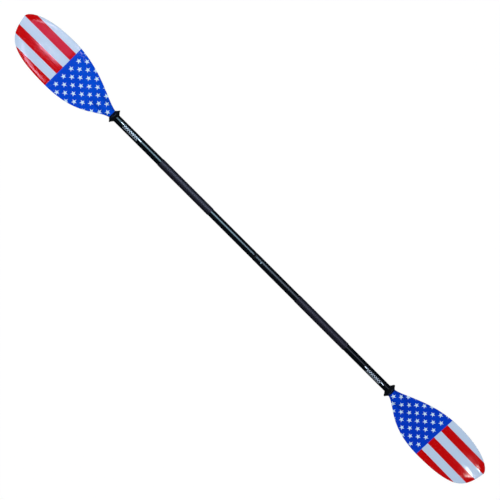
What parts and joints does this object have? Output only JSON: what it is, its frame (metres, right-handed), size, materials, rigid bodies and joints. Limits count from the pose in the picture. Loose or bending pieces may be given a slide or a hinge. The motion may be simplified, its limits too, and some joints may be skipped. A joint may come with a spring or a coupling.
{
  "type": "kayak paddle",
  "caption": "Two-piece kayak paddle with asymmetric spoon blades, a round shaft with hand grips and drip rings, and a snap-button ferrule joint.",
  "frame": {"origin": "on the shaft's axis, where the two halves meet", "axes": "+X along the shaft to the blade of the half with the sleeve, +Y to each blade's longer, straighter edge, +Z out of the power faces"},
  "size_m": [2.3, 0.181, 0.0618],
  "materials": {
    "blade_print": "glossy printed laminate: deep blue with pale stars at the throat, red and pale stripes to the tip",
    "blade_back_print": "glossy printed laminate over the back face and its spine",
    "foam": "closed-cell foam, not seen from outside",
    "shaft_gloss": "glossy black laminate tube",
    "sleeve_satin": "satin black laminate sleeve",
    "ferrule_black": "semi-gloss black laminate",
    "grip_matte": "matte charcoal grip with a fine woven texture",
    "ring_rubber": "soft black rubber",
    "button_steel": "polished stainless steel"
  },
  "bodies": {
    "left_half": {"left_blade_front": "blade_print", "left_blade_back": "blade_back_print", "left_blade_core": "foam", "left_blade_plug": "foam", "left_joint_plug": "foam", "left_shaft_tube": "shaft_gloss", "left_grip": "grip_matte", "male_ferrule": "ferrule_black", "ferrule_cap": "ring_rubber", "button_spring": "button_steel"},
    "button": {"snap_button": "button_steel"},
    "ring": {"joint_ring": "ring_rubber"},
    "right_half": {"right_blade_front": "blade_print", "right_blade_back": "blade_back_print", "right_blade_core": "foam", "right_blade_plug": "foam", "right_joint_plug": "foam", "right_shaft_tube": "shaft_gloss", "right_grip": "grip_matte", "female_ferrule": "sleeve_satin"},
    "left_drip": {"left_drip_ring": "ring_rubber"},
    "right_drip": {"right_drip_ring": "ring_rubber"}
  },
  "joints": [
    {"name": "snap_press", "type": "slide", "parent": "left_half", "child": "button", "axis": [0, 0.1736, -0.9848], "range_m": [0, 0.0048], "stiffness_N_per_m": 2500, "springref_m": -0.002, "deforming": ["button_spring"]},
    {"name": "feather_turn", "type": "hinge", "parent": "left_half", "child": "ring", "pos_m": [0, 0, 0], "axis": [1, 0, 0], "range_deg": [-60, 60], "deforming": ["snap_button"]},
    {"name": "pull_apart", "type": "slide", "parent": "ring", "child": "right_half", "axis": [1, 0, 0], "range_m": [0, 0.14]},
    {"name": "left_ring_slide", "type": "slide", "parent": "left_half", "child": "left_drip", "axis": [1, 0, 0], "range_m": [0, 0.2]},
    {"name": "right_ring_slide", "type": "slide", "parent": "right_half", "child": "right_drip", "axis": [-1, 0, 0], "range_m": [0, 0.2]}
  ]
}
